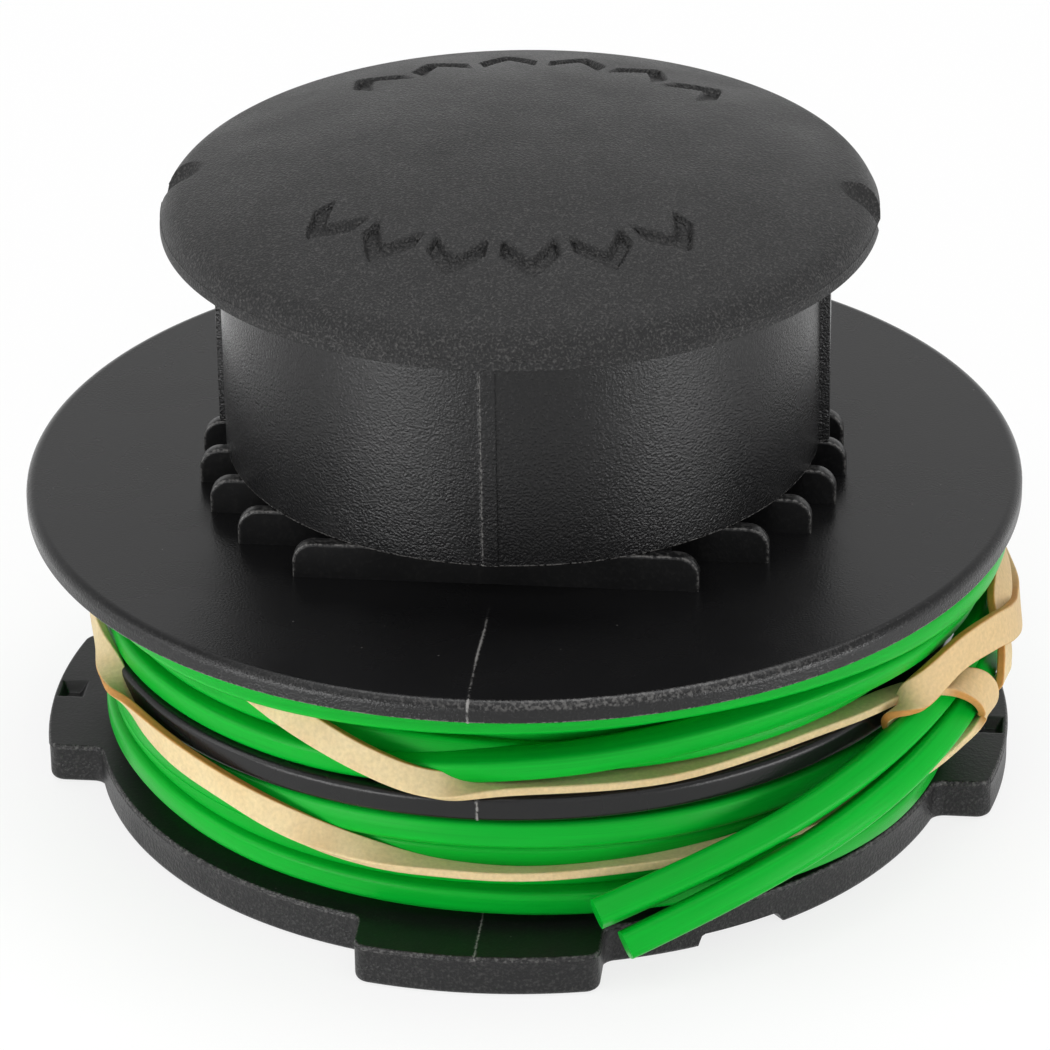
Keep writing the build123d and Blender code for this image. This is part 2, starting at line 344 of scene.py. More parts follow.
def crepe_rubber(name):
    """Cut natural rubber: dull cream faces with fine specks, and amber along the cut edges."""
    colours = bpy.context.scene.spool_colours
    material, tree = new_material(name)
    place = node(tree, "TexCoord").outputs["Object"]
    # The band is amber at its cut edges and in faint clouds, and chalky grit lightens and darkens it.
    grit_size, grit_depth, cloud_size = 0.3, 0.03, 4.0
    edge = node(tree, "Attribute", attribute_name="edge").outputs["Fac"]
    grit = node(tree, "TexNoise", [("Vector", place), ("Scale", per_mm(grit_size)), ("Detail", 4.0)])
    cloud = node(tree, "TexNoise", [("Vector", place), ("Scale", per_mm(cloud_size)), ("Detail", 2.0)])
    amber = node(
        tree,
        "MapRange",
        [("Value", cloud.outputs["Fac"]), ("From Min", 0.35), ("From Max", 0.75), ("To Max", 0.3)],
    )
    amber = node(tree, "Math", [(0, amber.outputs[0]), (1, edge)], operation="MAXIMUM")
    tint = node(
        tree,
        "Mix",
        [("Factor", amber.outputs[0]), ("A", colours.rubber), ("B", colours.rubber_edge)],
        data_type="RGBA",
    )
    shade = node(
        tree,
        "MapRange",
        [
            ("Value", grit.outputs["Fac"]),
            ("From Min", 0.3),
            ("From Max", 0.7),
            ("To Min", 0.88),
            ("To Max", 1.06),
        ],
    )
    tint = node(
        tree,
        "Mix",
        [("Factor", 1.0), ("A", tint.outputs["Result"]), ("B", shade.outputs[0])],
        data_type="RGBA",
        blend_type="MULTIPLY",
    )
    bump = node(
        tree, "Bump", [("Height", grit.outputs["Fac"]), ("Distance", grit_depth * MM), ("Strength", 0.6)]
    )
    shader = node(
        tree,
        "BsdfPrincipled",
        [
            ("Base Color", tint.outputs["Result"]),
            ("Roughness", 0.62),
            ("IOR", 1.52),
            ("Subsurface Weight", 0.2),
            ("Subsurface Radius", (1.0, 0.7, 0.4)),
            ("Subsurface Scale", 0.5 * MM),
            ("Normal", bump.outputs[0]),
        ],
    )
    node(tree, "OutputMaterial", [("Surface", shader.outputs[0])])
    return material


def smooth_step(low, high, value):
    """Cubic ramp from 0 at low to 1 at high."""
    share = np.clip((value - low) / (high - low), 0, 1)
    return share * share * (3 - 2 * share)


def bell(value, middle, spread):
    """Bell curve: e to the minus square of the distance from the middle over the spread."""
    return np.exp(-(((value - middle) / spread) ** 2))


def polar(azimuth, radius, height):
    """Points from azimuth in degrees from the front, towards +X, radius and height."""
    angle = np.radians(azimuth)
    radius, height = np.broadcast_arrays(radius, height)
    return np.stack(np.broadcast_arrays(radius * np.sin(angle), -radius * np.cos(angle), height), -1)


def unit(vectors):
    """Vectors scaled to length 1."""
    return vectors / np.linalg.norm(vectors, axis=-1, keepdims=True)


def rounded(corners, steps=8, hold=0.06):
    """Open outline of (x, y, radius) corners: each corner is an arc that is tangent to both runs, with a
    holding point just past each end of the arc so that the flats stay flat in shading."""
    points = np.array([corner[:2] for corner in corners], float)
    made = [points[:1]]
    for before, here, after, corner in zip(points, points[1:], points[2:], corners[1:]):
        into, out = unit(here - before), unit(after - here)
        side = np.sign(into[0] * out[1] - into[1] * out[0])
        turn = np.arccos(np.clip(into @ out, -1, 1))
        reach = corner[2] * np.tan(turn / 2)
        start, stop = here - into * reach, here + out * reach
        centre = start + side * corner[2] * np.array([-into[1], into[0]])
        swept = side * np.linspace(0, turn, steps + 1)
        spoke = start - centre
        turned = np.stack(
            [
                spoke[0] * np.cos(swept) - spoke[1] * np.sin(swept),
                spoke[0] * np.sin(swept) + spoke[1] * np.cos(swept),
            ],
            -1,
        )
        made += [(start - into * hold)[None], centre + turned, (stop + out * hold)[None]]
    return np.concatenate(made + [points[-1:]])


def refined(points, spacing):
    """Outline with points added so that no step is longer than about the spacing."""
    along = np.concatenate([[0], np.cumsum(np.linalg.norm(np.diff(points, axis=0), axis=1))])
    every = np.union1d(along, np.arange(0, along[-1], spacing))
    least_step = 1e-4
    every = every[np.concatenate([[True], np.diff(every) > least_step])]
    return np.stack([np.interp(every, along, points[:, 0]), np.interp(every, along, points[:, 1])], -1)


def azimuths(coarse, places, spread, fine):
    """Azimuths round a turn: evenly spaced, and finer within a spread of some places."""
    every = [np.arange(-180, 180, coarse)]
    every += [place + np.arange(-spread, spread + fine / 2, fine) for place in places]
    every = (np.concatenate(every) + 180) % 360 - 180
    return np.unique(np.round(every, 4))


def grid_faces(rows, columns, close_rows=False):
    """Quads of a grid of points that are stored row by row: each row is a closed loop, and the last row
    joins the first too if asked."""
    row = np.arange(rows if close_rows else rows - 1)[:, None]
    column = np.arange(columns)[None, :]
    next_row, next_column = (row + 1) % rows, (column + 1) % columns
    corners = np.broadcast_arrays(
        row * columns + column,
        row * columns + next_column,
        next_row * columns + next_column,
        next_row * columns + column,
    )
    return np.stack(corners, -1).reshape(-1, 4)


def make_piece(name, parts, material, nodes, attributes, sharp=40.0):
    """One object from parts of (points in millimetres, faces): doubles are merged, faces point outwards and
    edges past the sharp angle stay sharp. Attributes are one value or vector for each point."""
    merge_distance = 0.0005
    offsets = np.cumsum([0] + [len(points) for points, _ in parts])
    points = np.concatenate([points for points, _ in parts]) * MM
    faces = [row for (_, rows), offset in zip(parts, offsets) for row in shifted(rows, offset)]
    mesh = bpy.data.meshes.new(name)
    mesh.from_pydata(points, [], faces)
    for title, values in attributes.items():
        kind, field = ("FLOAT", "value") if values.ndim == 1 else ("FLOAT_VECTOR", "vector")
        layer = mesh.attributes.new(title, kind, "POINT")
        layer.data.foreach_set(field, values.astype(np.float32).ravel())
    work = bmesh.new()
    work.from_mesh(mesh)
    bmesh.ops.remove_doubles(work, verts=work.verts, dist=merge_distance * MM)
    bmesh.ops.recalc_face_normals(work, faces=work.faces)
    work.to_mesh(mesh)
    work.free()
    mesh.shade_smooth()
    mesh.set_sharp_from_angle(angle=np.radians(sharp))
    mesh.materials.append(material)
    piece = bpy.data.objects.new(name, mesh)
    bpy.context.scene.collection.objects.link(piece)
    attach(piece, BODY)
    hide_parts(*nodes)
    return piece


def shifted(rows, offset):
    """Faces as lists of point numbers, moved on by an offset."""
    if isinstance(rows, np.ndarray):
        return (rows + offset).tolist()
    return [[number + offset for number in row] for row in rows]


def make_moulding(name, parts, material, wear_and_highlight, grain):
    """One piece of the black moulding, with its shares of rubbing and painted highlight, and of grain, which
    also sets the painted glints, at each point.
    """
    make_piece(
        name, parts, material, ["spool"], {"wear_and_highlight": wear_and_highlight.ravel(), "grain": grain.ravel()}
    )


def turned_from(azimuth, place):
    """Degrees from a place round the axis, between minus and plus half a turn."""
    return (azimuth - place + 180) % 360 - 180


def bumps_on(azimuth, radius, places, half_width, height, soft):
    """Low flat-topped ridges along a round wall: the height within half a width of each place, and a cubic
    ramp down to nothing over the soft shoulders."""
    made = np.zeros_like(azimuth)
    for place in places:
        away = np.radians(np.abs(turned_from(azimuth, place))) * radius
        made = made + height * (1 - smooth_step(half_width - soft / 2, half_width + soft / 2, away))
    return made


def knob_marks(azimuth, radius):
    """Depth share of plain chevrons in an arc at the front and back of the dome: each is the strip within
    half a stroke of a V whose arms run back from its tip."""
    ring, pitch, count = 16.7, 17.5, 6
    stroke, half_span, arm_slope, soft = 1.5, 1.95, 1.1, 0.2
    depth = np.zeros_like(radius * azimuth)
    for turn in (0, 180):
        for index in range(count):
            place = turn + (index - (count - 1) / 2) * pitch
            across = np.abs(np.radians(turned_from(azimuth, place)) * ring)
            along = radius - ring + arm_slope * (across - half_span / 2)
            away = np.maximum(np.abs(along) - stroke / 2, across - half_span)
            depth = np.maximum(depth, 1 - smooth_step(-soft, soft, away))
    return depth


class SPOOL_OT_knob(bpy.types.Operator):
    """Domed pull knob with its two thumb grooves"""

    bl_idname = "spool.knob"
    bl_label = "Knob"

    def execute(self, context):
        sizes = context.scene.spool_sizes
        radius, dome_radius = sizes.knob_radius / MM, sizes.knob_dome_radius / MM
        neck, bore = sizes.neck_radius / MM, sizes.bore_radius / MM
        edge, neck_overlap, mark_depth, flash_wear, hair = 2.5, 0.4, 0.5, 4.0, 0.005
        # The dome is part of a sphere, with rows close together where the marks are.
        dome_centre = KNOB_TOP - dome_radius
        shoulder_angle = np.arcsin((radius - edge) / (dome_radius - edge))
        shoulder = dome_radius * np.sin(shoulder_angle)
        marks_from, marks_to, mark_step, gap = 13.4, 20.2, 0.17, 0.2
        across = np.concatenate(
            [
                np.linspace(0, marks_from - gap, 12),
                np.arange(marks_from, marks_to, mark_step),
                np.linspace(marks_to + gap, shoulder, 18),
            ]
        )
        dome = np.stack([across, dome_centre + np.sqrt(dome_radius**2 - across**2)], -1)
        # The edge is an arc tangent to the dome, with a low bell of flash round it at the parting line.
        arc_height = dome_centre + (dome_radius - edge) * np.cos(shoulder_angle)
        flash_angle, flash_spread, flash_height = 0.26, 0.02, 0.05
        swept = np.linspace(np.pi / 2 - shoulder_angle, 0, 22)[1:]
        swept = np.union1d(swept, flash_angle + flash_spread * np.linspace(-2.5, 2.5, 11))[::-1]
        flash = flash_height * bell(swept, flash_angle, flash_spread)
        spokes = (edge + flash)[:, None] * np.stack([np.cos(swept), np.sin(swept)], -1)
        arc = (radius - edge, arc_height) + spokes
        under = rounded(
            [
                (radius, arc[-1, 1] - hair, 0),
                (radius, NECK_TOP, 0.03),
                (neck - neck_overlap, NECK_TOP, 0.1),
                (bore, NECK_TOP, 0.05),
                (bore, BORE_END, 0.3),
                (0, BORE_END, 0),
            ],
            steps=4,
            hold=0.04,
        )
        section = np.concatenate([dome, arc, refined(under, spacing=1.4)])
        turn = azimuths(coarse=0.75, places=(-90, 90), spread=8.0, fine=0.2)
        ring = polar(turn[None, :], section[:, :1], section[:, 1:])
        on_dome = (np.arange(len(section)) < len(dome))[:, None]
        ring[..., 2] -= mark_depth * on_dome * knob_marks(turn[None, :], section[:, :1])
        for side in (-1, 1):
            ring = self.grooved(ring, side, radius)
        wear_and_highlight = np.zeros(ring.shape[:2])
        wear_and_highlight[len(dome) : len(dome) + len(arc)] = flash_wear * flash[:, None]
        material = black_polypropylene(
            "black_polypropylene_spark_grained",
            roughness=0.46,
            grain_size=0.17,
            grain_depth=0.15,
            painted_glint=0.26,
        )
        faces = grid_faces(len(section), len(turn))
        make_moulding("spool_knob", [(ring.reshape(-1, 3), faces)], material, wear_and_highlight, np.ones(wear_and_highlight.size))
        return {"FINISHED"}

    def grooved(self, points, side, radius):
        """Points inside a tilted round rod, lowered onto its underside: the rod's axis runs out and down
        over the rim, and a point beside the axis goes as deep as the root of the rod radius squared less its
        distance to that side squared."""
        rod, reach, tilt, depth = 2.2, 6.8, np.radians(48), 1.45
        on_axis = (radius, 0, KNOB_EDGE + (rod - depth) / np.cos(tilt))
        away = points * (side, 1, 1) - on_axis
        along = away[..., 0] * np.cos(tilt) - away[..., 2] * np.sin(tilt)
        up = away[..., 0] * np.sin(tilt) + away[..., 2] * np.cos(tilt)
        across = away[..., 1]
        floor = -np.sqrt(np.maximum(rod**2 - across**2, 0))
        inside = (np.abs(across) < rod) & (up > floor) & (up < rod) & (np.abs(along) < reach)
        up = np.where(inside, floor, up)
        moved = np.stack(
            [
                along * np.cos(tilt) + up * np.sin(tilt),
                across,
                -along * np.sin(tilt) + up * np.cos(tilt),
            ],
            -1,
        )
        return np.where(inside[..., None], (moved + on_axis) * (side, 1, 1), points)


class SPOOL_OT_body(bpy.types.Operator):
    """Neck, top flange, drum and divider as one turned form"""

    bl_idname = "spool.body"
    bl_label = "Neck, flange and drum"

    def execute(self, context):
        sizes = context.scene.spool_sizes
        neck, flange = sizes.neck_radius / MM, sizes.top_flange_radius / MM
        divider, bore = sizes.divider_radius / MM, sizes.bore_radius / MM
        drum, waist, boss_wall, bevel = 20.0, 18.2, 4.2, 0.8
        boss, skirt = bore + boss_wall, sizes.rim_radius / MM - RIM_RING
        section = rounded(
            [
                (bore, NECK_TOP, 0),
                (neck, NECK_TOP, 0.05),
                (neck, NECK_BOTTOM, 0.12),
                (waist, NECK_BOTTOM, 0.2),
                (waist, TOP_FLANGE_TOP, 0.4),
                (flange, TOP_FLANGE_TOP, 0.65),
                (flange, TOP_FLANGE_BOTTOM, 0.1),
                (drum, TOP_FLANGE_BOTTOM, 0.4),
                (drum, DIVIDER_TOP, 0.4),
                (divider, DIVIDER_TOP, 0.5),
                (divider, DIVIDER_BOTTOM, 0.5),
                (drum, DIVIDER_BOTTOM, 0.4),
                (drum, FLANGE_TOP, 0.4),
                (skirt, FLANGE_TOP, 0.02),
                (skirt, FLANGE_WEB, 0.02),
                (boss, FLANGE_WEB, 0.4),
                (boss, 0, 0.15),
                (bore + bevel, 0, 0.1),
                (bore, bevel, 0.1),
                (bore, NECK_TOP, 0),
            ],
            steps=5,
        )
        section = refined(section, spacing=2.0)[:-1]
        turn = azimuths(coarse=1.25, places=(-90, 0, 90, 180), spread=2.4, fine=0.2)
        seam_reach, seam_step = 0.8, 0.05
        turn = np.union1d(turn, np.arange(-seam_reach, seam_reach + seam_step / 2, seam_step))
        radius, height = section[:, :1], section[:, 1:]
        # A rib at each side of the neck, and a low strip at its front and back
        hair = 0.02
        on_neck = (np.abs(radius - neck) < hair) & (height > NECK_BOTTOM + hair)
        on_neck = on_neck & (height < NECK_TOP - hair)
        proud = bumps_on(turn, neck, places=(-90, 90), half_width=0.5, height=0.65, soft=0.16)
        proud = proud + bumps_on(turn, neck, places=(0, 180), half_width=0.55, height=0.15, soft=0.12)
        # The parting line stands proud of the flanges and the neck, at the front
        outward = self.outward(section)
        shown = (radius > drum + 1).astype(float)
        seam = self.seam(turn[None, :], radius) * shown
        ring = polar(turn[None, :], radius + on_neck * proud + outward[:, :1] * seam, height)
        ring[..., 2] += outward[:, 1:] * seam
        strip_highlight, seam_wear = 0.55, 20.0
        wear_and_highlight = self.wear_and_highlight(section, turn[None, :], neck, flange)
        # A painted highlight runs down the left edge of the neck's front strip.
        wear_and_highlight = wear_and_highlight + strip_highlight * on_neck * self.strip_edge_highlight(turn[None, :], neck)
        wear_and_highlight = np.clip(wear_and_highlight + seam_wear * seam * self.dashes(radius + height), 0, 1)
        plain_grain, edge_ring = 0.3, 0.2
        grained = on_neck | (radius > flange - edge_ring)
        grain = np.broadcast_to(np.where(grained, 1.0, plain_grain), ring.shape[:2])
        material = black_polypropylene(
            "black_polypropylene_moulded", roughness=0.25, grain_size=0.17, grain_depth=0.055, painted_glint=0.04
        )
        faces = grid_faces(len(section), len(turn), close_rows=True)
        make_moulding("spool_body", [(ring.reshape(-1, 3), faces)], material, wear_and_highlight, grain)
        return {"FINISHED"}

    def wear_and_highlight(self, section, azimuth, neck, flange):
        """Rubbing of the flange's two edges and the neck's lower edge, within a small reach of each. The
        flange's top edge is scraped most a little right of the front, as a wide bell."""
        scraped = 0.04 + 0.3 * bell(azimuth, 16, 24)
        edges = (
            (scraped, (flange, TOP_FLANGE_TOP - 0.25), (0.55, 0.24)),
            (0.4, (flange, TOP_FLANGE_BOTTOM), (0.12, 0.12)),
            (0.5, (neck, NECK_BOTTOM), (0.14, 0.14)),
        )
        return sum(
            share * np.all(np.abs(section - place) < reach, axis=1, keepdims=True)
            for share, place, reach in edges
        )

    def strip_edge_highlight(self, azimuth, neck):
        """Thin bell along the left edge of the neck's front strip, where a painted highlight lies."""
        edge, spread = -0.52, 0.09
        return bell(np.radians(azimuth) * neck, edge, spread)

    def dashes(self, run):
        """Uneven dashes along the parting line: a sine whose phase swings with a slower sine."""
        return np.clip(0.55 + 0.6 * np.sin(5.3 * run + 1.7 * np.sin(1.3 * run)), 0.1, 1)

    def seam(self, azimuth, radius):
        """Height of the parting line: a thin bell across a line that wanders a little with the radius."""
        height, spread = 0.06, 0.09
        line = 0.012 * np.sin(2.1 * radius) + 0.06 * np.sin(0.37 * radius)
        return height * bell(np.radians(azimuth) * radius, line, spread)

    def outward(self, section):
        """Outward direction across a closed section: its direction along, turned by a quarter."""
        along = unit(np.roll(section, -1, axis=0) - np.roll(section, 1, axis=0))
        return np.stack([-along[:, 1], along[:, 0]], -1)


class SPOOL_OT_plates(bpy.types.Operator):
    """Parallel plates that carry the neck above the top flange"""

    bl_idname = "spool.plates"
    bl_label = "Plates under the neck"

    def execute(self, context):
        count, pitch, reach, corner, half, sunk = 9, 4.5, 22.7, 1.5, 0.5, 0.1
        # Each plate is a stack of loops of its outline, given as their place across it and their inset. They
        # run over one softened edge and back over the other, and the edges are painted pale as a painted
        # highlight along them.
        layers = np.array([(-half, 0.28), (-half, 0.16), (-half + 0.05, 0.05), (-half + 0.16, 0.0)])
        layers = np.concatenate([layers, layers[::-1] * (-1, 1)])
        rubbing_and_highlight = np.array([0.0, 0.2, 0.6, 0.2])
        rubbing_and_highlight = np.concatenate([rubbing_and_highlight, rubbing_and_highlight[::-1]])
        parts = []
        for index in range(count):
            place = (index - (count - 1) / 2) * pitch
            end = np.sqrt(reach**2 - place**2)
            outline = rounded(
                [
                    (-end, TOP_FLANGE_TOP - sunk, 0),
                    (-end, NECK_BOTTOM, corner),
                    (end, NECK_BOTTOM, corner),
                    (end, TOP_FLANGE_TOP - sunk, 0),
                ]
            )
            along = unit(np.gradient(outline, axis=0))
            outward = np.stack([-along[:, 1], along[:, 0]], -1)
            loops = outline[None] - outward[None] * layers[:, 1, None, None]
            across = np.broadcast_to(place + layers[:, :1], loops.shape[:2])
            points = np.stack([loops[..., 0], across, loops[..., 1]], -1)
            rows, columns = points.shape[:2]
            faces = grid_faces(rows, columns).tolist()
            faces += [list(range(columns)), list(range((rows - 1) * columns, rows * columns))]
            parts.append((points.reshape(-1, 3), faces))
        material = black_polypropylene(
            "black_polypropylene_plate", roughness=0.34, grain_size=0.3, grain_depth=0.012, painted_glint=0.03
        )
        wear_and_highlight = np.tile(np.repeat(rubbing_and_highlight, columns), count)
        make_moulding("spool_plates", parts, material, wear_and_highlight, np.ones(wear_and_highlight.size))
        return {"FINISHED"}


class SPOOL_OT_lugs(bpy.types.Operator):
    """Bottom rim with its drive lugs, gaps and gate marks"""

    bl_idname = "spool.lugs"
    bl_label = "Lugged rim"

    def execute(self, context):
        sizes = context.scene.spool_sizes
        rim = sizes.rim_radius / MM
        skirt, foot, top_edge = rim - RIM_RING, 0.45, 0.16
        outline = self.outline(rim, sizes.lug_radius / MM)
        along = unit(np.roll(outline, -1, axis=0) - np.roll(outline, 1, axis=0))
        outward = np.stack([along[:, 1], -along[:, 0]], -1)
        azimuth = np.degrees(np.arctan2(outline[:, 0], -outline[:, 1]))
        inner = np.stack([np.sin(np.radians(azimuth)), -np.cos(np.radians(azimuth))], -1) * skirt
        # Rows over the top, down the wall with a line of flash and back under, as the share of the way from
        # the skirt to the edge, the inset from the edge and the height
        bend = np.linspace(0, np.pi / 2, 7)
        shares = np.concatenate([np.linspace(0, 0.5, 6), np.linspace(0.52, 1, 40)])
        top = [(share, top_edge, FLANGE_TOP) for share in shares]
        top_arc = [
            (1, top_edge * (1 - np.sin(angle)), FLANGE_TOP - top_edge * (1 - np.cos(angle)))
            for angle in bend[1:]
        ]
        flash_above, flash_at, flash_below, flash_out = 2.72, 2.66, 2.6, 0.05
        wall = [
            (1, 0.0, flash_above),
            (1, -flash_out, flash_at),
            (1, 0.0, flash_below),
            (1, 0.0, 1.6),
            (1, 0.0, 0.9),
            (1, 0.0, foot + 0.05),
        ]
        foot_arc = [(1, foot * (1 - np.cos(angle)), foot * (1 - np.sin(angle))) for angle in bend]
        under = [(share, foot, 0.0) for share in np.linspace(0.97, 0, 9)]
        rows = np.array(top + top_arc + wall + foot_arc + under)
        edge = outline[None] - outward[None] * rows[:, 1, None, None]
        flat = inner[None] + (edge - inner[None]) * rows[:, :1, None]
        height = np.maximum(rows[:, 2:], self.gaps(azimuth)[None])
        on_top = (np.arange(len(rows)) < len(top))[:, None]
        height -= on_top * self.gate_marks(flat)
        points = np.concatenate([flat, height[..., None]], -1)
        faces = grid_faces(len(rows), len(outline), close_rows=True)
        # The top edge and the flash are rubbed, and so is the parting line on the front lug. The top has less
        # grain.
        edge_wear, seam_wear, seam_spread, top_grain = 0.25, 0.8, 0.16, 0.2
        wear_and_highlight, grain = np.zeros(len(rows)), np.ones(len(rows))
        wall_start = len(top) + len(top_arc)
        wear_and_highlight[len(top) : wall_start + 2] = edge_wear
        grain[: len(top)] = top_grain
        seam = (np.arange(len(rows)) < wall_start)[:, None] * seam_wear * bell(azimuth, 0, seam_spread)
        wear_and_highlight = np.maximum(wear_and_highlight[:, None], seam)
        material = black_polypropylene(
            "black_polypropylene_rim", roughness=0.42, grain_size=0.22, grain_depth=0.1, painted_glint=0.13
        )
        make_moulding(
            "spool_rim", [(points.reshape(-1, 3), faces)], material, wear_and_highlight, np.repeat(grain, len(outline))
        )
        return {"FINISHED"}

    def outline(self, rim, lug):
        """Closed plan of the rim: at each quarter a lug with straight sides, whose outer corners and roots
        are arcs tangent to its sides and to the two circles. Points are closer at the parting line."""
        half, corner, root, seam_reach = 8.3, 1.1, 1.0, 0.045
        corner_v = np.sqrt((lug - corner) ** 2 - (half - corner) ** 2)
        root_v = np.sqrt((rim + root) ** 2 - (half + root) ** 2)
        outer_angle = np.arctan2(half - corner, corner_v)
        root_angle = np.arctan2(half + root, root_v)
        outer = np.union1d(np.linspace(0, seam_reach, 16), np.linspace(0, outer_angle, 14))[1:-1]
        bend = np.linspace(np.pi / 2 - outer_angle, 0, 10)
        hollow = np.linspace(np.pi, 1.5 * np.pi - root_angle, 10)
        rim_arc = np.linspace(root_angle, np.pi / 4, 64)[1:-1]
        half_lug = np.concatenate(
            [
                lug * np.stack([np.sin(outer), np.cos(outer)], -1),
                (half - corner, corner_v) + corner * np.stack([np.cos(bend), np.sin(bend)], -1),
                np.stack([np.full(3, half), np.linspace(corner_v, root_v, 5)[1:-1]], -1),
                (half + root, root_v) + root * np.stack([np.cos(hollow), np.sin(hollow)], -1),
                rim * np.stack([np.sin(rim_arc), np.cos(rim_arc)], -1),
            ]
        )
        one = np.concatenate([half_lug[::-1] * (-1, 1), [(0.0, lug)], half_lug])
        quarters = []
        for index in range(4):
            angle = np.radians(90 * index)
            across = np.array([np.cos(angle), np.sin(angle)])
            ahead = np.array([np.sin(angle), -np.cos(angle)])
            middle = rim * unit(ahead + across)
            quarters += [one[:, :1] * across + one[:, 1:] * ahead, middle[None]]
        return np.concatenate(quarters)

    def gaps(self, azimuth):
        """Height of the two shallow gaps under the rim: a steep cubic ramp up at one end of each and a
        gentler one down at the other."""
        rise, fall, depth = (28.0, 28.7), (39.3, 41.0), 1.05
        made = np.zeros_like(azimuth)
        for place in (0, 180):
            away = turned_from(azimuth, place)
            made = np.maximum(made, depth * smooth_step(*rise, away) * (1 - smooth_step(*fall, away)))
        return made

    def gate_marks(self, flat):
        """Depth of the sunk gate marks in the two side lugs: a soft-edged rectangle near each outer wall."""
        centre, half_length, half_width, depth, soft = 33.2, 0.7, 0.9, 0.7, 0.32
        out = np.abs(np.abs(flat[..., 0]) - centre) - half_length
        across = np.abs(flat[..., 1]) - half_width
        return depth * (1 - smooth_step(-soft, soft, np.maximum(out, across)))


def smooth_route(stations, step=1.0, blur=5.0):
    """Route of (azimuth, values...) stations read at even azimuth steps: straight between stations, then
    blurred by a bell that is a few degrees wide, so that it has no corners. Azimuths only grow or only
    fall."""
    stations = np.array(stations, float)
    if stations[0, 0] > stations[-1, 0]:
        stations = stations[::-1]
    azimuth = np.arange(stations[0, 0], stations[-1, 0] + step / 2, step)
    reach = int(3 * blur / step)
    weights = bell(np.arange(-reach, reach + 1) * step, 0, blur * np.sqrt(2))
    weights = weights / weights.sum()
    values = []
    for column in stations[:, 1:].T:
        line = np.interp(azimuth, stations[:, 0], column)
        before = 2 * line[0] - line[reach:0:-1]
        after = 2 * line[-1] - line[-2 : -reach - 2 : -1]
        values.append(np.convolve(np.concatenate([before, line, after]), weights, mode="valid"))
    return azimuth, np.stack(values, -1)


def line_section(width, count, power=4.0):
    """Rounded square section: the superellipse of a power, whose two coordinates are cosine and sine raised
    to two over the power."""
    angle = np.arange(count) * 2 * np.pi / count
    shape = np.stack([np.cos(angle), np.sin(angle)], -1)
    return width / 2 * np.sign(shape) * np.abs(shape) ** (2 / power)


def tube(path, section, twist, closed):
    """A section carried along a path: its first axis points away from the spool's axis, square to the path,
    turned by the twist at each point. Ends of an open tube are closed by a small dome. The marks give each
    point its distance along the path and round the section."""
    if closed:
        along = unit(np.roll(path, -1, axis=0) - np.roll(path, 1, axis=0))
    else:
        along = unit(np.gradient(path, axis=0))
    out = unit(path * (1, 1, 0))
    out = unit(out - along * np.sum(out * along, -1, keepdims=True))
    side = np.cross(along, out)
    first = out * np.cos(twist)[:, None] + side * np.sin(twist)[:, None]
    second = side * np.cos(twist)[:, None] - out * np.sin(twist)[:, None]
    scale = np.ones(len(path))
    if not closed:
        path, first, second, scale = capped(path, first, second, along)
    rings = path[:, None] + scale[:, None, None] * (
        section[None, :, :1] * first[:, None] + section[None, :, 1:] * second[:, None]
    )
    rows, columns = rings.shape[:2]
    faces = grid_faces(rows, columns, close_rows=closed)
    run = np.concatenate([[0], np.cumsum(np.linalg.norm(np.diff(path, axis=0), axis=1))])
    perimeter = 8 * section.max()
    around = np.arange(columns) * perimeter / columns
    marks = np.stack(np.broadcast_arrays(run[:, None], around[None, :], 0.0), -1)
    return rings.reshape(-1, 3), faces, marks.reshape(-1, 3)


def capped(path, first, second, along):
    """Path with rings added at both ends that shrink to a point while they move out along it, for a cut end
    with a soft rim. Returns the path, the section's two axes and the scale at each ring."""
    shrink = np.array([0.0, 0.55, 0.86, 0.97])
    lift = np.array([0.06, 0.05, 0.03, 0.0])
    scale = np.concatenate([shrink, np.ones(len(path)), shrink[::-1]])
    start = path[:1] - along[:1] * lift[:, None]
    stop = path[-1:] + along[-1:] * lift[::-1, None]
    ends = (len(shrink), len(shrink))
    first, second = (np.pad(axis, (ends, (0, 0)), mode="edge") for axis in (first, second))
    return np.concatenate([start, path, stop]), first, second, scale


